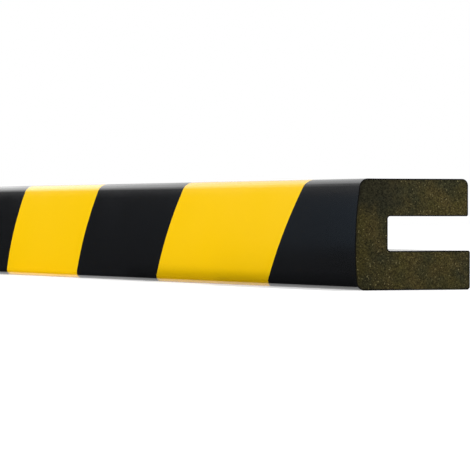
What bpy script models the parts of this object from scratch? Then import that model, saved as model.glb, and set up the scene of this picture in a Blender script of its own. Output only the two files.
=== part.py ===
# Edge protection profile: a straight moulded foam bar with a slot that pushes onto the edge of a panel.
# Black and yellow warning stripes slant round its outside, and both ends are cut square.
# Metres. X runs along the bar, Y from the rounded nose to the mouth of the slot, Z up.
# The bar lies on its lower arm, and the origin is under the middle of its bounding box.

import itertools
import math

import bmesh
import bpy

# The section
BAR_HEIGHT = 0.026
BAR_DEPTH = 0.030
LOWER_ARM_THICKNESS = 0.0092
SLOT_WIDTH = 0.008
SLOT_DEPTH = 0.0215  # from the mouth at the lower arm, which reaches a little further than the upper one
UPPER_ARM_SETBACK = 0.0005
NOSE_CROWN_RADIUS = 0.095
NOSE_PEAK_HEIGHT = 0.0095  # where the crown stands out furthest
NOSE_TOP_RADIUS = 0.0018
NOSE_BOTTOM_RADIUS = 0.0020
REAR_TOP_RADIUS = 0.0016
REAR_BOTTOM_RADIUS = 0.0008
LIP_RADIUS = 0.0005
SLOT_CORNER_RADIUS = 0.0006
SKIN_THICKNESS = 0.0003

# The length, and the stripes' edges: each one's distance from the +X end along the peak of the nose, and its
# slant, which is how far it moves along X for each metre round the section. The sprayed edges vary a little
# near the +X end, and are even after that.
BAR_LENGTH = 1.000
FIRST_EDGES = ((0.0430, 0.82), (0.1147, 0.71), (0.1731, 0.63), (0.2298, 0.58))
STRIPE_WIDTH = 0.0575
STRIPE_SLANT = 0.67

# How many straight runs make each corner, and each side of the crown
CORNER_STEPS = 5
CROWN_STEPS = 6

# Each finish: its linear colour and its roughness
FINISHES = {
    "black_skin": ((0.0115, 0.0123, 0.0137), 0.42),
    "yellow_skin": ((0.965, 0.604, 0.007), 0.40),
    "cut_foam": ((0.044, 0.036, 0.016), 0.95),
}
BLACK, YELLOW, FOAM = range(len(FINISHES))

FRONT = -BAR_DEPTH / 2
REAR = BAR_DEPTH / 2
UPPER_REAR = REAR - UPPER_ARM_SETBACK
CROWN_CENTRE = FRONT + NOSE_CROWN_RADIUS
SLOT_FLOOR = REAR - SLOT_DEPTH
SLOT_BOTTOM = LOWER_ARM_THICKNESS
SLOT_TOP = SLOT_BOTTOM + SLOT_WIDTH
QUARTER = math.pi / 2


# Points of an arc in the YZ plane, both ends included
def arc(centre_y, centre_z, radius, start, end, steps=CORNER_STEPS):
    angles = [start + (end - start) * step / steps for step in range(steps + 1)]
    return [(centre_y + radius * math.cos(angle), centre_z + radius * math.sin(angle)) for angle in angles]


# A nose corner's circle, centred at the given height, touches the crown's circle from inside.
# Gives the Y of its centre and the angle of the touch.
def nose_corner(radius, centre_z):
    rise = centre_z - NOSE_PEAK_HEIGHT
    run = math.sqrt((NOSE_CROWN_RADIUS - radius) ** 2 - rise**2)
    return CROWN_CENTRE - run, math.atan2(rise, -run)


# The outside of the section, from the slot's lower lip under the bar, up the nose and over to the upper lip
def outside_points():
    top_z = BAR_HEIGHT - NOSE_TOP_RADIUS
    bottom_z = NOSE_BOTTOM_RADIUS
    top_y, top_angle = nose_corner(NOSE_TOP_RADIUS, top_z)
    bottom_y, bottom_angle = nose_corner(NOSE_BOTTOM_RADIUS, bottom_z)
    crown = CROWN_CENTRE, NOSE_PEAK_HEIGHT, NOSE_CROWN_RADIUS
    below_peak = arc(*crown, bottom_angle, -2 * QUARTER, CROWN_STEPS)
    above_peak = arc(*crown, -2 * QUARTER, top_angle - 4 * QUARTER, CROWN_STEPS)
    return [
        *arc(REAR - LIP_RADIUS, SLOT_BOTTOM - LIP_RADIUS, LIP_RADIUS, QUARTER, 0),
        *arc(REAR - REAR_BOTTOM_RADIUS, REAR_BOTTOM_RADIUS, REAR_BOTTOM_RADIUS, 0, -QUARTER),
        *arc(bottom_y, bottom_z, NOSE_BOTTOM_RADIUS, -QUARTER, bottom_angle),
        *below_peak[1:],
        *above_peak[1:-1],
        *arc(top_y, top_z, NOSE_TOP_RADIUS, top_angle, QUARTER),
        *arc(UPPER_REAR - REAR_TOP_RADIUS, BAR_HEIGHT - REAR_TOP_RADIUS, REAR_TOP_RADIUS, QUARTER, 0),
        *arc(UPPER_REAR - LIP_RADIUS, SLOT_TOP + LIP_RADIUS, LIP_RADIUS, 0, -QUARTER),
    ]


# The inner end of the slot, from its upper wall round to its lower one
def slot_points():
    centre_y = SLOT_FLOOR + SLOT_CORNER_RADIUS
    return [
        *arc(centre_y, SLOT_TOP - SLOT_CORNER_RADIUS, SLOT_CORNER_RADIUS, QUARTER, 2 * QUARTER),
        *arc(centre_y, SLOT_BOTTOM + SLOT_CORNER_RADIUS, SLOT_CORNER_RADIUS, 2 * QUARTER, 3 * QUARTER),
    ]


# The way round the section from the peak of the nose to each of its points, below the peak as a minus.
# In the slot, which has no stripes, it runs evenly back to where it began.
def ways_round(outside, slot):
    steps = [math.dist(here, there) for here, there in zip(outside, outside[1:])]
    girths = list(itertools.accumulate(steps, initial=0.0))
    peak_girth = girths[outside.index(min(outside))]
    ways = [girth - peak_girth for girth in girths]
    first, last = ways[0], ways[-1]
    runs = len(slot) + 1
    return ways + [last + (first - last) * step / runs for step in range(1, runs)]


# Where each stripe's edge crosses the peak of the nose, and its slant, from before one end to past the other
def stripe_edges(reach):
    end_x = BAR_LENGTH / 2
    edges = [(end_x + reach, FIRST_EDGES[0][1])]
    edges += [(end_x - distance, slant) for distance, slant in FIRST_EDGES]
    while edges[-1][0] > -end_x - reach:
        edges.append((edges[-1][0] - STRIPE_WIDTH, STRIPE_SLANT))
    return edges


# The striped skin, longer than the bar and open at both ends
def add_skin(mesh):
    outside = outside_points()
    slot = slot_points()
    section = outside + slot
    ways = ways_round(outside, slot)
    reach = STRIPE_WIDTH + max(abs(way) for way in ways)
    rings = []
    for edge_x, slant in stripe_edges(reach):
        rings.append([mesh.verts.new((edge_x + slant * way, y, z)) for way, (y, z) in zip(ways, section)])
    for stripe, (near, far) in enumerate(zip(rings, rings[1:])):
        for point in range(len(section)):
            after = (point + 1) % len(section)
            face = mesh.faces.new((near[point], near[after], far[after], far[point]))
            painted = point < len(outside) - 1
            face.material_index = YELLOW if painted and stripe % 2 else BLACK
            face.smooth = True


# A square cut through skin and foam, at the end that the sign gives
def cut_end(mesh, sign):
    end_x = sign * BAR_LENGTH / 2
    everything = mesh.verts[:] + mesh.edges[:] + mesh.faces[:]
    cut = bmesh.ops.bisect_plane(
        mesh, geom=everything, plane_co=(end_x, 0, 0), plane_no=(sign, 0, 0), clear_outer=True
    )
    rim = [item for item in cut["geom_cut"] if isinstance(item, bmesh.types.BMEdge)]
    filled = bmesh.ops.edgeloop_fill(mesh, edges=rim, mat_nr=FOAM)
    border = bmesh.ops.inset_region(mesh, faces=filled["faces"], thickness=SKIN_THICKNESS, use_even_offset=True)
    for face in border["faces"]:
        face.material_index = BLACK


# A plain material of one colour and roughness
def add_finish(name):
    colour, roughness = FINISHES[name]
    material = bpy.data.materials.new(name)
    material.use_nodes = True
    shader = material.node_tree.nodes["Principled BSDF"]
    shader.inputs["Base Color"].default_value = (*colour, 1.0)
    shader.inputs["Roughness"].default_value = roughness
    shader.inputs["Metallic"].default_value = 0.0
    material.diffuse_color = (*colour, 1.0)
    return material


def add_edge_profile():
    mesh = bmesh.new()
    add_skin(mesh)
    for sign in (-1, 1):
        cut_end(mesh, sign)
    bmesh.ops.recalc_face_normals(mesh, faces=mesh.faces[:])
    data = bpy.data.meshes.new("edge_profile")
    mesh.to_mesh(data)
    mesh.free()
    data.set_sharp_from_angle(angle=math.radians(30))
    for name in FINISHES:
        data.materials.append(add_finish(name))
    profile = bpy.data.objects.new("edge_profile", data)
    bpy.context.scene.collection.objects.link(profile)


for leftover in list(bpy.data.objects):
    bpy.data.objects.remove(leftover, do_unlink=True)
add_edge_profile()
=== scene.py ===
# Edge protection profile: a satin striped skin on a foam bar with square cut ends, in a plain white studio.
# Everything is in metres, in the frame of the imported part.

import math

import bmesh
import bpy
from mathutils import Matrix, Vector, noise


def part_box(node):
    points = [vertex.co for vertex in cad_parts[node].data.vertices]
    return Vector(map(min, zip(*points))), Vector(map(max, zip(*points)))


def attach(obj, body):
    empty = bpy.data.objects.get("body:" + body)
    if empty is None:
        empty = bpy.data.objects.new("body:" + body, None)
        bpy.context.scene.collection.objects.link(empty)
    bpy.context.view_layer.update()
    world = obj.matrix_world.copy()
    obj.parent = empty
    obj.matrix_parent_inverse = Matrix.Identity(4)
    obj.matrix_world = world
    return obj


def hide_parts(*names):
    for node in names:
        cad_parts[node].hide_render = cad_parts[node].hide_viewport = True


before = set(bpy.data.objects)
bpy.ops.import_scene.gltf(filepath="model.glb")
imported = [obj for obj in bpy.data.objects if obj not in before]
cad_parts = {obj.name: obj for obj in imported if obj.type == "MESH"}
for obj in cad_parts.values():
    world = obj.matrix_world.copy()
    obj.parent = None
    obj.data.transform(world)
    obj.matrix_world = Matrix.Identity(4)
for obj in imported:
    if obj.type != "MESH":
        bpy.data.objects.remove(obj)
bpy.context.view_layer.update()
low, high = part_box("edge_profile")
slack = 1e-6  # two places that are nearer to each other than this count as one
print("loaded the packed bar,", round(high.x - low.x, 4), "m long")


# Small tools for meshes

def mix(a, b, share):
    return a + (b - a) * share


def smoothStep(start, end, value):
    share = min(max((value - start) / (end - start), 0), 1)
    return share * share * (3 - 2 * share)


# The vertices, edges or faces among what an operator gives back
def ofKind(kind, items):
    return [item for item in items if isinstance(item, kind)]


def vertsOf(faces):
    return {vert for face in faces for vert in face.verts}


def addObject(name, data):
    added = bpy.data.objects.new(name, data)
    bpy.context.scene.collection.objects.link(added)
    return added


def finishMesh(name, mesh):
    data = bpy.data.meshes.new(name)
    mesh.to_mesh(data)
    mesh.free()
    return addObject(name, data)


# Small tools for materials

# Each input, by name or number, is linked to a socket or gets a number or a colour of its own
def setInputs(tree, node, values):
    for key, value in values.items():
        socket = node.inputs[key]
        if isinstance(value, bpy.types.NodeSocket):
            tree.links.new(value, socket)
        elif socket.type == "RGBA":
            socket.default_value = (*value, 1)
        else:
            socket.default_value = value


def addNode(tree, kind, inputs=None, **settings):
    node = tree.nodes.new(kind)
    for name, value in settings.items():
        setattr(node, name, value)
    setInputs(tree, node, inputs or {})
    return node


def addMath(tree, operation, *values):
    return addNode(tree, "ShaderNodeMath", dict(enumerate(values)), operation=operation).outputs["Value"]


# The length of two values as the sides of a right angle
def addLength(tree, first, second):
    squares = [addMath(tree, "MULTIPLY", value, value) for value in (first, second)]
    return addMath(tree, "SQRT", addMath(tree, "ADD", *squares))


# A straight run from one range of values to another: from low, from high, to low, to high
def addRange(tree, value, span):
    return addNode(tree, "ShaderNodeMapRange", dict(enumerate((value, *span)))).outputs["Result"]


# Two colours mixed by a mask
def addColourMix(tree, mask, first, second):
    return addNode(tree, "ShaderNodeMix", {"Factor": mask, 6: first, 7: second}, data_type="RGBA").outputs[2]


# A colour made lighter or darker
def addToned(tree, colour, tone):
    node = addNode(tree, "ShaderNodeVectorMath", {0: colour, "Scale": tone}, operation="SCALE")
    return node.outputs["Vector"]


# How many waves or cells of this size there are in a metre
def addScale(tree, size):
    return addMath(tree, "DIVIDE", 1.0, size) if isinstance(size, bpy.types.NodeSocket) else 1 / size


# Noise, by the length of its waves, how many finer waves lie on them, and how strong those are
def addNoise(tree, place, wave, detail, roughness):
    inputs = {"Vector": place, "Scale": addScale(tree, wave), "Detail": detail, "Roughness": roughness}
    return addNode(tree, "ShaderNodeTexNoise", inputs).outputs["Fac"]


# The way from the middle of the nearest cell
def addCells(tree, place, size):
    inputs = {"Vector": place, "Scale": addScale(tree, size)}
    return addNode(tree, "ShaderNodeTexVoronoi", inputs, feature="F1").outputs["Distance"]


def addBump(tree, height, distance, strength=1.0):
    inputs = {"Height": height, "Distance": distance, "Strength": strength}
    return addNode(tree, "ShaderNodeBump", inputs).outputs["Normal"]


def newMaterial(name):
    material = bpy.data.materials.new(name)
    material.use_nodes = True
    return material, material.node_tree, material.node_tree.nodes["Principled BSDF"]


# The bar

bar = {
    "slotWidth": 0.008,
    "slotDepth": 0.0215,
    "lowerArm": 0.0092,
    "upperSetback": 0.0005,  # the upper arm ends this far short of the lower one
    "crownRadius": 0.095,
    "crownPeak": 0.0095,  # height where the nose stands out furthest
    # Radii of the section's corners
    "noseTop": 0.0018,
    "noseBottom": 0.0020,
    "rearTop": 0.0016,
    "rearBottom": 0.0008,
    "lip": 0.0005,
    "slotCorner": 0.0006,
    "cornerSegments": 8,
    "longestRun": 0.0025,  # along the section, between two points
    "ringPitch": 0.004,  # along the bar
    "firstEdges": ((0.0430, 0.82), (0.1147, 0.71), (0.1731, 0.63), (0.2298, 0.58)),  # distance from +X, slant
    "stripe": 0.0575,
    "slant": 0.67,
    "unevenDepth": 0.00006,  # how far the moulded skin dips between its high spots
    "unevenWave": (0.070, 0.016, 0.016),  # along X, Y and Z
    "unevenShares": (0.35, 0.15),  # of the waves and of the finer ones on them, a half together
    "finerWaves": 3.1,  # how many of the finer waves there are to a wave
    "sharpAngle": 50,  # degrees, from which an edge isn't shaded smooth
}
blackSkin, yellowSkin, cutFoam = range(3)  # material slots
halfLength = high.x
slotFloor = high.y - bar["slotDepth"]
slotLow = bar["lowerArm"]
slotHigh = slotLow + bar["slotWidth"]


# The section as one face in the YZ plane: square corners, then rounded, then pushed back to the crown
def addSection(mesh):
    upperRear = high.y - bar["upperSetback"]
    corners = (
        (high.y, slotLow, bar["lip"]),
        (high.y, low.z, bar["rearBottom"]),
        (low.y, low.z, bar["noseBottom"]),
        (low.y, high.z, bar["noseTop"]),
        (upperRear, high.z, bar["rearTop"]),
        (upperRear, slotHigh, bar["lip"]),
        (slotFloor, slotHigh, bar["slotCorner"]),
        (slotFloor, slotLow, bar["slotCorner"]),
    )
    verts = [mesh.verts.new((0, y, z)) for y, z, radius in corners]
    mesh.faces.new(verts)
    for vert, (y, z, radius) in zip(verts, corners):
        bmesh.ops.bevel(
            mesh, geom=[vert], offset=radius, offset_type="OFFSET", segments=bar["cornerSegments"],
            profile=0.5, affect="VERTICES", material=-1,
        )
    for edge in list(mesh.edges):
        cuts = int(edge.calc_length() / bar["longestRun"])
        if cuts:
            bmesh.ops.subdivide_edges(mesh, edges=[edge], cuts=cuts)
    noseDepth = max(bar["noseTop"], bar["noseBottom"]) + slack
    for vert in mesh.verts:
        if vert.co.y < low.y + noseDepth:
            rise = vert.co.z - bar["crownPeak"]
            vert.co.y += bar["crownRadius"] - math.sqrt(bar["crownRadius"] ** 2 - rise**2)
    return mesh.faces[:][0]


# Which point of the section is the nearest to a place
def nearestPoint(ring, y, z):
    return min(range(len(ring)), key=lambda point: math.hypot(ring[point].co.y - y, ring[point].co.z - z))


# Measures the way round the section, and the way from the peak of the nose that the stripes lean by.
# In the slot, which has no stripes, that runs evenly back to where it began.
def measureRing(face, layers):
    ring = [corner.vert for corner in face.loops]
    first = nearestPoint(ring, high.y - bar["lip"], slotLow)
    ring = ring[first:] + ring[:first]
    if ring[1].co.z > ring[0].co.z or ring[1].co.y < ring[0].co.y:
        ring = ring[:1] + ring[:0:-1]
    total, girths = 0.0, []
    for here, there in zip(ring, ring[1:] + ring[:1]):
        girths.append(total)
        total += (there.co - here.co).length
    outer = girths[nearestPoint(ring, high.y - bar["upperSetback"] - bar["lip"], slotHigh)]
    peak = girths[ring.index(min(ring, key=lambda vert: vert.co.y))]
    for vert, girth in zip(ring, girths):
        back = max(girth - outer, 0) / (total - outer)
        vert[layers["round"]] = girth
        vert[layers["way"]] = mix(min(girth, outer), 0, back) - peak
    return total, max(abs(vert[layers["way"]]) for vert in ring)


# Where each stripe's edge crosses the peak of the nose, and its slant, from before one end to past the other
def stripeEdges(reach):
    edges = [(halfLength + reach, bar["firstEdges"][0][1])]
    edges += [(halfLength - distance, slant) for distance, slant in bar["firstEdges"]]
    while edges[-1][0] > -halfLength - reach:
        edges.append((edges[-1][0] - bar["stripe"], bar["slant"]))
    return edges


# The skin as a tube, longer than the bar, with a ring of edges at each stripe's edge
def addSkin(mesh, layers):
    section = addSection(mesh)
    total, reach = measureRing(section, layers)
    bmesh.ops.delete(mesh, geom=[section], context="FACES_ONLY")
    edges = stripeEdges(bar["stripe"] + reach)
    ring = mesh.edges[:]
    for vert in mesh.verts:
        vert.co.x = edges[0][0] + edges[0][1] * vert[layers["way"]]
    for stripe, ((near, nearSlant), (far, farSlant)) in enumerate(zip(edges, edges[1:])):
        steps = max(round((near - far) / bar["ringPitch"]), 1)
        for step in range(1, steps + 1):
            share = step / steps
            made = bmesh.ops.extrude_edge_only(mesh, edges=ring)["geom"]
            ring = [edge for edge in ofKind(bmesh.types.BMEdge, made) if len(edge.link_faces) < 2]
            for vert in ofKind(bmesh.types.BMVert, made):
                vert.co.x = mix(near, far, share) + mix(nearSlant, farSlant, share) * vert[layers["way"]]
                vert[layers["along"]] = stripe + share
            for face in ofKind(bmesh.types.BMFace, made):
                middle = face.calc_center_median()
                inSlot = middle.y > slotFloor - slack and slotLow - slack < middle.z < slotHigh + slack
                face[layers["stripe"]] = stripe
                face.material_index = yellowSkin if stripe % 2 and not inSlot else blackSkin
                face.smooth = True
    return len(edges) - 1, total


# The slow unevenness of a moulded skin, always inwards from the true section
def makeUneven(mesh):
    bmesh.ops.recalc_face_normals(mesh, faces=mesh.faces[:])
    if min(mesh.verts, key=lambda vert: vert.co.z).normal.z > 0:
        bmesh.ops.reverse_faces(mesh, faces=mesh.faces[:])
    mesh.normal_update()
    waveShare, finerShare = bar["unevenShares"]
    moves = []
    for vert in mesh.verts:
        place = Vector([value / wave for value, wave in zip(vert.co, bar["unevenWave"])])
        dip = 0.5 + waveShare * noise.noise(place) + finerShare * noise.noise(place * bar["finerWaves"])
        moves.append((vert, vert.normal * bar["unevenDepth"] * dip))
    for vert, move in moves:
        vert.co -= move


# The cut ends

cutEnd = {
    "skin": 0.00028,
    "skinUneven": 0.00010,  # how far the skin's inner border wanders
    "skinWave": 0.0011,
    "upShift": 37.0,  # gives the border another noise for up and down than for across
    "cell": 0.0003,  # size of a grid cell on the cut
    "sawDepth": 0.00005,
    "sawWave": 0.0016,
    "poreDepth": 0.00016,
    "poreSize": 0.0011,
    "poreShare": 0.42,  # how far out from its middle a pore begins to sink, as a share of its size
    "rimFade": 0.0012,  # how far from the skin the foam still is denser and flatter
    "rimPores": 0.25,  # depth of the pores beside the skin, as a share of the others'
    "endShift": 9.0,  # gives each end a noise of its own
}


# Cuts the bar square, closes the cut, and splits the closing face into skin and a grid of foam
def cutSquare(mesh, layers, sign):
    everything = mesh.verts[:] + mesh.edges[:] + mesh.faces[:]
    cut = bmesh.ops.bisect_plane(
        mesh, geom=everything, plane_co=(sign * halfLength, 0, 0), plane_no=(sign, 0, 0), clear_outer=True,
    )
    border = ofKind(bmesh.types.BMEdge, cut["geom_cut"])
    filled = bmesh.ops.edgeloop_fill(mesh, edges=border, mat_nr=cutFoam)["faces"]
    rim = bmesh.ops.inset_region(mesh, faces=filled, thickness=cutEnd["skin"], use_even_offset=True)["faces"]
    inner = vertsOf(filled)
    for vert in vertsOf(rim) - inner:
        vert[layers["rimDepth"]] = -cutEnd["skin"]
    for vert in inner:
        place = vert.co / cutEnd["skinWave"]
        vert.co.y += cutEnd["skinUneven"] * noise.noise(place)
        vert.co.z += cutEnd["skinUneven"] * noise.noise(place + Vector((cutEnd["upShift"], 0, 0)))
    for face in (*rim, *filled):
        face[layers["stripe"]] = -1 if sign < 0 else -2
        face.smooth = True
    foam = set(filled)
    for direction, start, end in ((Vector((0, 1, 0)), low.y, high.y), (Vector((0, 0, 1)), low.z, high.z)):
        cuts = round((end - start) / cutEnd["cell"])
        for step in range(1, cuts):
            parts = [*foam, *{edge for face in foam for edge in face.edges}, *vertsOf(foam)]
            place = direction * mix(start, end, step / cuts)
            sliced = bmesh.ops.bisect_plane(mesh, geom=parts, dist=slack, plane_co=place, plane_no=direction)
            foam.update(ofKind(bmesh.types.BMFace, sliced["geom"]))
            foam = {face for face in foam if face.is_valid}
    return foam, inner


# Shallow saw marks and open pores, always inwards from the cut
def carveFoam(foam, border, rimLayer, sign):
    borderPlaces = [vert.co.copy() for vert in border]
    for vert in vertsOf(foam):
        if any(face not in foam for face in vert.link_faces):
            vert[rimLayer] = 0.0
            continue
        nearest = min((vert.co - place).length for place in borderPlaces)
        vert[rimLayer] = nearest
        place = Vector((sign * cutEnd["endShift"], vert.co.y, vert.co.z))
        saw = 0.5 + 0.5 * noise.noise(place / cutEnd["sawWave"])
        distance = noise.voronoi(place / cutEnd["poreSize"])[0][0]
        pore = 1 - smoothStep(0, cutEnd["poreShare"], distance)
        pore *= mix(cutEnd["rimPores"], 1, smoothStep(0, cutEnd["rimFade"], nearest))
        vert.co.x -= sign * (cutEnd["sawDepth"] * saw + cutEnd["poreDepth"] * pore)


# Each stripe has a tile of its own on the map, and each cut end a larger one above them
def addMap(mesh, layers, stripes, total):
    gutter, columns, endWide, endHigh = 0.004, 7, 0.5, 0.26
    tileWide, tileHigh = 1 / columns, (1 - endHigh) / math.ceil(stripes / columns)
    layer = mesh.loops.layers.uv.new("OFBake")
    for face in mesh.faces:
        stripe = face[layers["stripe"]]
        girths = [corner.vert[layers["round"]] for corner in face.loops]
        closing = max(girths) - min(girths) > total / 4
        for corner, girth in zip(face.loops, girths):
            place = corner.vert.co
            if stripe < 0:
                across = (place.y - low.y) / (high.y - low.y)
                up = (place.z - low.z) / (high.z - low.z)
                box = ((-stripe - 1) * endWide, 1 - endHigh, endWide, endHigh)
            else:
                # The slot's lower wall closes the way round
                if closing or girth > total - bar["slotDepth"] + bar["lip"]:
                    girth = total - (high.y - bar["lip"] - place.y)
                across = stripe + 1 - corner.vert[layers["along"]]
                up = girth / total
                box = (stripe % columns * tileWide, stripe // columns * tileHigh, tileWide, tileHigh)
            corner[layer].uv = (
                box[0] + gutter + across * (box[2] - 2 * gutter),
                box[1] + gutter + up * (box[3] - 2 * gutter),
            )


def makeBar():
    mesh = bmesh.new()
    layers = {name: mesh.verts.layers.float.new(name) for name in ("round", "way", "along", "rimDepth")}
    layers["stripe"] = mesh.faces.layers.int.new("stripe")
    stripes, total = addSkin(mesh, layers)
    print("skin:", len(mesh.faces), "faces,", stripes, "stripes")
    makeUneven(mesh)
    for sign in (-1, 1):
        foam, border = cutSquare(mesh, layers, sign)
        carveFoam(foam, border, layers["rimDepth"], sign)
        print("cut end", sign, "has", len(foam), "foam faces")
    addMap(mesh, layers, stripes, total)
    bmesh.ops.recalc_face_normals(mesh, faces=mesh.faces[:])
    piece = finishMesh("foam_bar", mesh)
    piece.data.set_sharp_from_angle(angle=math.radians(bar["sharpAngle"]))
    return piece


foamBar = makeBar()
print("bar:", len(foamBar.data.polygons), "faces")


# Finishes

skinFinish = {
    # Each skin: colour, roughness, specular level, and how strongly its tone varies
    "black": ((0.0080, 0.0086, 0.0098), 0.16, 0.4, 0.08),
    "yellow": ((0.945, 0.585, 0.0008), 0.14, 0.4, 0.012),
    "grain": 0.00045,  # size of the moulded grain
    "grainHeight": 0.000005,
    "dent": 2.5,  # size of the dents among the grain, in grains
    "dentShare": 0.5,  # their height over the grain's
    "cloud": 0.035,  # size of the slow clouds in tone and gloss
    "cloudShare": 0.6,  # of the change in tone, and the rest is the grain's
    "glossSwing": 0.03,  # how far grain and clouds each change the roughness
}
foamFinish = {
    "olive": (0.0565, 0.0475, 0.0150),
    "green": (0.0335, 0.0325, 0.0155),
    "brown": (0.0660, 0.0510, 0.0185),
    "dense": (0.0215, 0.0222, 0.0144),
    "fleck": (0.22, 0.19, 0.09),
    # painted shade: the dark colour laid into the sunken middles of the cells, also used for the darker foam
    # beside the skin
    "pitShadeAndRimColour": (0.012, 0.010, 0.0055),
    "skinLine": (0.0045, 0.0045, 0.0045),
    "specular": 0.08,
    "cell": 0.00062,
    "speckShare": 0.5,  # height of the specks over the cells'
    "height": 0.00014,
    "bump": 0.8,
    "denseMiddle": (low.y + 0.0045, high.z - 0.0028),  # Y and Z of the denser foam in the upper nose corner
    "denseFlat": 1.8,  # how much wider than high it is
    "patchShift": (0.3, 0.7, 0.2),  # takes the brown and the flecks to another part of the noise
    # Noises: the length of a wave, how many finer waves lie on it, and how strong those are
    "patchNoise": (0.0075, 2.0, 0.5),
    "brownNoise": (0.0045, 3.0, 0.5),
    "borderNoise": (0.0035, 3.0, 0.5),
    "speckNoise": (0.00030, 3.0, 0.7),
    "fleckNoise": (0.00042, 1.0, 0.5),
    # Two values of a noise, or two distances, and what each of them turns into
    "oliveOverGreen": (0.38, 0.62, 0, 1),
    "brownOver": (0.42, 0.68, 0, 0.8),
    "denseBorder": (0.3, 0.7, -0.0025, 0.0025),
    "denseOver": (0.005225, 0.01045, 0.8, 0),
    "noseTone": (low.y, low.y + 0.012, 0.76, 1.0),  # the foam grows lighter from the nose's skin inwards
    # partly painted shade and highlight: the specks are darker where the bump sinks and lighter where it
    # stands up
    "speckToneAndShade": (0.30, 0.70, 0.02, 2.1),
    # painted shade in the sunken middle of each cell, where the bump also sinks
    "pitShadeRange": (0.10, 0.48, 0.55, 0),
    "rimOver": (0.0, 0.0007, 0.45, 0),  # the foam beside the skin is darker
    "fleckOver": (0.665, 0.75, 0, 0.85),
    "fleckInDense": (0, 0.6, 1, 0),
    "skinLineOver": (-0.00006, 0.00002, 1, 0),
    "roughness": (0.3, 0.7, 0.88, 0.98),
}


# The grain of a moulded skin: a tone around 1, a change of roughness around 0, and a height
def makeMouldGrain():
    group = bpy.data.node_groups.new("mould grain", "ShaderNodeTree")
    group.interface.new_socket("Place", in_out="INPUT", socket_type="NodeSocketVector")
    for name in ("Grain", "Cloud", "Strength", "Swing"):
        group.interface.new_socket(name, in_out="INPUT", socket_type="NodeSocketFloat")
    for name in ("Tone", "Roughness", "Height"):
        group.interface.new_socket(name, in_out="OUTPUT", socket_type="NodeSocketFloat")
    given = addNode(group, "NodeGroupInput").outputs
    place = given["Place"]

    fine = addNoise(group, place, given["Grain"], 3.0, 0.6)
    cloud = addNoise(group, place, given["Cloud"], 4.0, 0.55)
    dents = addCells(group, place, addMath(group, "MULTIPLY", given["Grain"], skinFinish["dent"]))
    grainy = addRange(group, fine, (0.25, 0.75, -1, 1))
    cloudy = addRange(group, cloud, (0.3, 0.7, -1, 1))
    grainShade = addMath(group, "MULTIPLY", grainy, 1 - skinFinish["cloudShare"])
    shade = addMath(group, "MULTIPLY_ADD", cloudy, skinFinish["cloudShare"], grainShade)
    addNode(group, "NodeGroupOutput", {
        "Tone": addMath(group, "MULTIPLY_ADD", shade, given["Strength"], 1.0),
        "Roughness": addMath(group, "MULTIPLY", addMath(group, "ADD", grainy, cloudy), given["Swing"]),
        "Height": addMath(group, "MULTIPLY_ADD", dents, skinFinish["dentShare"], fine),
    })
    return group


mouldGrain = makeMouldGrain()


# A satin skin in one colour
def skinMaterial(name, colour, roughness, specular, toneStrength):
    material, tree, shader = newMaterial(name)
    grain = addNode(tree, "ShaderNodeGroup", node_tree=mouldGrain)
    setInputs(tree, grain, {
        "Place": addNode(tree, "ShaderNodeTexCoord").outputs["Object"],
        "Grain": skinFinish["grain"],
        "Cloud": skinFinish["cloud"],
        "Strength": toneStrength,
        "Swing": skinFinish["glossSwing"],
    })
    setInputs(tree, shader, {
        "Base Color": addToned(tree, colour, grain.outputs["Tone"]),
        "Roughness": addMath(tree, "ADD", roughness, grain.outputs["Roughness"]),
        "Specular IOR Level": specular,
        "Normal": addBump(tree, grain.outputs["Height"], skinFinish["grainHeight"]),
    })
    return material


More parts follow.
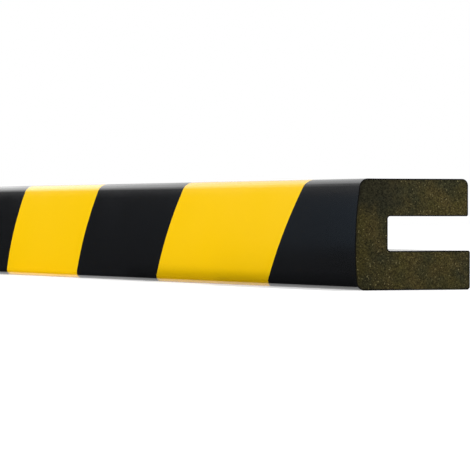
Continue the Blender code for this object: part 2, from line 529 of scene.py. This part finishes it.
# Fine open foam: small cells with painted shade in their sunken middles, light and dark specks that are
# partly painted shade and highlight on the relief, and slow patches of olive, green and brown
def foamMaterial():
    material, tree, shader = newMaterial("cut foam")
    place = addNode(tree, "ShaderNodeTexCoord").outputs["Object"]
    shift = {0: place, 1: foamFinish["patchShift"]}
    shifted = addNode(tree, "ShaderNodeVectorMath", shift, operation="ADD").outputs["Vector"]
    across, up = addNode(tree, "ShaderNodeSeparateXYZ", {"Vector": place}).outputs[1:]
    rim = addNode(tree, "ShaderNodeAttribute", attribute_name="rimDepth").outputs["Fac"]

    def foamNoise(where, name):
        return addNoise(tree, where, *foamFinish[name])

    def turned(value, name):
        return addRange(tree, value, foamFinish[name])

    def covered(mask, colour, name):
        return addColourMix(tree, mask, colour, foamFinish[name])

    patches = covered(turned(foamNoise(place, "patchNoise"), "oliveOverGreen"), foamFinish["green"], "olive")
    patches = covered(turned(foamNoise(shifted, "brownNoise"), "brownOver"), patches, "brown")
    middleAcross, middleUp = foamFinish["denseMiddle"]
    above = addMath(tree, "MULTIPLY", addMath(tree, "SUBTRACT", up, middleUp), foamFinish["denseFlat"])
    away = addLength(tree, addMath(tree, "SUBTRACT", across, middleAcross), above)
    ragged = addMath(tree, "ADD", away, turned(foamNoise(place, "borderNoise"), "denseBorder"))
    dense = turned(ragged, "denseOver")
    patches = covered(dense, patches, "dense")

    specks = foamNoise(place, "speckNoise")
    cells = addCells(tree, place, foamFinish["cell"])
    # The specks are partly the foam's own mottle, and partly painted shade where they sink and painted
    # highlight where they stand up
    tone = addMath(tree, "MULTIPLY", turned(specks, "speckToneAndShade"), turned(across, "noseTone"))
    # Painted shade in the sunken middles of the cells, together with the darker foam beside the skin
    pitShadeAndRimMask = addMath(tree, "MAXIMUM", turned(cells, "pitShadeRange"), turned(rim, "rimOver"))
    flecks = turned(foamNoise(shifted, "fleckNoise"), "fleckOver")
    flecks = addMath(tree, "MULTIPLY", flecks, turned(dense, "fleckInDense"))
    colour = covered(pitShadeAndRimMask, addToned(tree, patches, tone), "pitShadeAndRimColour")
    colour = covered(flecks, colour, "fleck")
    colour = covered(turned(rim, "skinLineOver"), colour, "skinLine")

    height = addMath(tree, "MULTIPLY_ADD", specks, foamFinish["speckShare"], cells)
    setInputs(tree, shader, {
        "Base Color": colour,
        "Roughness": turned(specks, "roughness"),
        "Specular IOR Level": foamFinish["specular"],
        "Normal": addBump(tree, height, foamFinish["height"], foamFinish["bump"]),
    })
    return material


for skinName in ("black", "yellow"):
    foamBar.data.materials.append(skinMaterial(skinName + " moulded skin", *skinFinish[skinName]))
foamBar.data.materials.append(foamMaterial())
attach(foamBar, "root")
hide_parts("edge_profile")
print("bar has its finishes")


# The studio: white to the eye and in reflections, with a plain level of light

studio = {
    "floorSize": 8.0,
    "floorColour": (0.80, 0.80, 0.80),
    "floorRoughness": 0.9,
    "floorGlow": 0.56,  # only as seen and reflected, so that the floor is white but keeps the bar's shadow
    "skyLevel": 0.62,
    # Soft lights: place, the point each one faces, size, power
    "lamps": (
        ("key soft light", (-0.3, -1.5, 0.40), (0.2, 0, high.z / 2), (1.6, 0.5), 18.9),
        ("end soft light", (1.6, 0.2, 0.50), (high.x, 0, high.z / 2), (0.5, 0.5), 4.4),
    ),
    "lampColour": (1.0, 0.99, 0.97),
    # The cards are dark near the floor and grow lighter with their rise, which is the height over the
    # distance in front of the bar: rise, colour. The far part of the bar mirrors what lies nearer than
    # shadeChange and takes the far shades, and its near part mirrors what lies beyond.
    "cardGlow": 2.0,  # brightness of the lightest shade
    "leastForward": 0.001,  # the least distance that the rise is worked out with
    "nearShades": (
        (0.0, (0.12, 0.18, 0.25)),
        (0.25, (0.12, 0.18, 0.25)),
        (0.31, (0.18, 0.21, 0.25)),
        (0.37, (0.26, 0.26, 0.27)),
        (0.68, (0.28, 0.28, 0.28)),
        (1.2, (0.28, 0.28, 0.28)),
        (2.4, (1.3, 1.3, 1.3)),
    ),
    "farShades": (
        (0.0, (0.010, 0.010, 0.010)),
        (0.36, (0.010, 0.010, 0.010)),
        (0.41, (0.05, 0.05, 0.05)),
        (0.50, (0.30, 0.30, 0.30)),
        (0.69, (0.72, 0.72, 0.72)),
        (1.2, (1.4, 1.4, 1.4)),
        (2.4, (2.0, 2.0, 2.0)),
    ),
    "shadeChange": (0.85, 0.93),
    # Cards that the camera doesn't see: size, middle, the way each one faces, and whether it also keeps
    # light from the bar or is only seen in reflections
    "cards": (
        ("upright card", (3.4, 1.20), (-1.30, -0.90, 0.60), (1.7, 0.885, 0), False),
        ("floor card", (3.6, 1.10), (-0.80, -0.5642, 0.0008), (0, 0, 1), False),
        ("far foot card", (0.920, 0.005), (low.x + 0.460, low.y - 0.0027, 0.0005), (0, 0, 1), False),
        ("near foot card", (0.080, 0.005), (high.x - 0.040, low.y - 0.0027, 0.0005), (0, 0, 1), True),
        ("foot flag", (0.15, 0.0028), (high.x - 0.065, low.y - 0.0015, 0.0017), (0, 1, 0), True),
    ),
}


# One where the ray is seen, reflected or passes through something
def addSeenMask(tree):
    path = addNode(tree, "ShaderNodeLightPath").outputs
    seen = addMath(tree, "MAXIMUM", path["Is Camera Ray"], path["Is Glossy Ray"])
    return addMath(tree, "MAXIMUM", seen, path["Is Transmission Ray"])


def makeFloor():
    mesh = bmesh.new()
    bmesh.ops.create_grid(mesh, x_segments=1, y_segments=1, size=studio["floorSize"] / 2)
    floor = finishMesh("studio_floor", mesh)
    material, tree, shader = newMaterial("pale floor")
    setInputs(tree, shader, {
        "Base Color": studio["floorColour"],
        "Roughness": studio["floorRoughness"],
        "Specular IOR Level": 0.0,
        "Emission Color": (1, 1, 1),
        "Emission Strength": addMath(tree, "MULTIPLY", addSeenMask(tree), studio["floorGlow"]),
    })
    floor.data.materials.append(material)


# A colour ramp along a value, up to its last stop
def addShades(tree, value, shades):
    last = shades[-1][0]
    node = addNode(tree, "ShaderNodeValToRGB", {"Fac": addMath(tree, "DIVIDE", value, last)})
    for stop, colour in shades[1:-1]:
        node.color_ramp.elements.new(stop / last)
    for element, (stop, colour) in zip(node.color_ramp.elements, shades):
        element.color = (*(part / studio["cardGlow"] for part in colour), 1)
    return node.outputs["Color"]


# Black cards with a glow of their own, in the shades that the side of the bar mirrors
def cardMaterial():
    material, tree, shader = newMaterial("shaded card")
    place = addNode(tree, "ShaderNodeTexCoord").outputs["Object"]
    across, height = addNode(tree, "ShaderNodeSeparateXYZ", {"Vector": place}).outputs[1:]
    forward = addMath(tree, "MAXIMUM", addMath(tree, "MULTIPLY", across, -1.0), studio["leastForward"])
    rise = addMath(tree, "DIVIDE", height, forward)
    near = addRange(tree, addLength(tree, forward, height), (*studio["shadeChange"], 0, 1))
    ramps = [addShades(tree, rise, studio[name]) for name in ("farShades", "nearShades")]
    setInputs(tree, shader, {
        "Base Color": (0, 0, 0),
        "Specular IOR Level": 0.0,
        "Emission Color": addColourMix(tree, near, *ramps),
        "Emission Strength": studio["cardGlow"],
    })
    return material


# The cards keep the side of the bar from mirroring the white studio
def makeCards():
    material = cardMaterial()
    for name, size, middle, facing, takesLight in studio["cards"]:
        mesh = bmesh.new()
        bmesh.ops.create_grid(mesh, x_segments=1, y_segments=1, size=0.5)
        bmesh.ops.scale(mesh, verts=mesh.verts[:], vec=(*size, 1))
        turn = Vector(facing).to_track_quat("Z", "Y").to_matrix()
        bmesh.ops.rotate(mesh, verts=mesh.verts[:], cent=(0, 0, 0), matrix=turn)
        bmesh.ops.translate(mesh, verts=mesh.verts[:], vec=middle)
        card = finishMesh(name.replace(" ", "_"), mesh)
        card.data.materials.append(material)
        card.visible_camera = card.visible_shadow = False
        card.visible_diffuse = takesLight


def makeWorld():
    world = bpy.data.worlds.new("white studio")
    bpy.context.scene.world = world
    world.use_nodes = True
    tree = world.node_tree
    levels = {"Factor": addSeenMask(tree), 2: studio["skyLevel"], 3: 1.0}
    strength = addNode(tree, "ShaderNodeMix", levels, data_type="FLOAT").outputs[0]
    setInputs(tree, tree.nodes["Background"], {"Color": (1, 1, 1), "Strength": strength})


def makeLamp(name, place, target, size, power):
    data = bpy.data.lights.new(name, "AREA")
    data.shape = "RECTANGLE"
    data.size, data.size_y = size
    data.energy = power
    data.color = studio["lampColour"]
    lamp = addObject(name, data)
    lamp.location = place
    lamp.rotation_euler = (Vector(target) - Vector(place)).to_track_quat("-Z", "Y").to_euler()
    lamp.visible_glossy = False  # it lights the bar without a glare on its skin


makeFloor()
makeCards()
makeWorld()
for lampValues in studio["lamps"]:
    makeLamp(*lampValues)


# The camera looks almost level along the bar, a little to its nose side

view = {
    "lens": 265.07,
    "azimuth": 66.128,
    "elevation": 0.320,
    "aim": (high.x, 0, high.z / 2),  # the middle of the cut end
    # How far the camera stands from there, along its own directions
    "right": -0.04140,
    "up": -0.00014,
    "back": 0.80554,
}


def makeCamera():
    azimuth, elevation = math.radians(view["azimuth"]), math.radians(view["elevation"])
    level = math.cos(elevation)
    back = Vector((math.sin(azimuth) * level, -math.cos(azimuth) * level, math.sin(elevation)))
    right = Vector((math.cos(azimuth), math.sin(azimuth), 0))
    up = back.cross(right)
    data = bpy.data.cameras.new("camera")
    data.lens = view["lens"]
    camera = addObject("camera", data)
    camera.location = Vector(view["aim"]) + right * view["right"] + up * view["up"] + back * view["back"]
    camera.rotation_euler = back.to_track_quat("Z", "Y").to_euler()
    bpy.context.scene.camera = camera


makeCamera()
bpy.context.scene.view_settings.view_transform = "Standard"
print("studio and camera are set")
